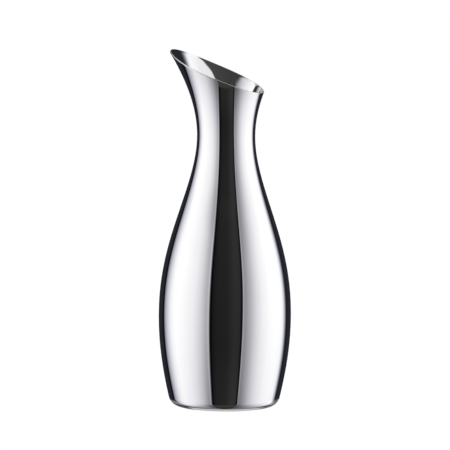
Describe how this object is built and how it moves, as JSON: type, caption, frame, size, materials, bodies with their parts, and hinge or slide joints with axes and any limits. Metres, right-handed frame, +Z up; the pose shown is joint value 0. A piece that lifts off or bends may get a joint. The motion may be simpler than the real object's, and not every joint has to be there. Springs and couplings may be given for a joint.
{
  "type": "jug",
  "caption": "Tall polished steel jug with a barrel belly, a narrow waist and a flared mouth cut on a slant to form a pouring spout.",
  "frame": {"origin": "on the jug's axis, on the surface that it stands on", "axes": "+Z up along the jug's axis; the pouring spout points along -X; the jug mirrors across the XZ plane"},
  "size_m": [0.1, 0.1, 0.2687],
  "materials": {
    "polished_steel": "mirror polish",
    "base_steel": "satin",
    "weld_steel": "ground flush outside, plain root inside"
  },
  "bodies": {
    "root": {"neck_shell": "polished_steel", "belly_shell": "polished_steel", "base_plate": "base_steel", "neck_weld": "weld_steel", "base_weld": "weld_steel"}
  },
  "joints": []
}
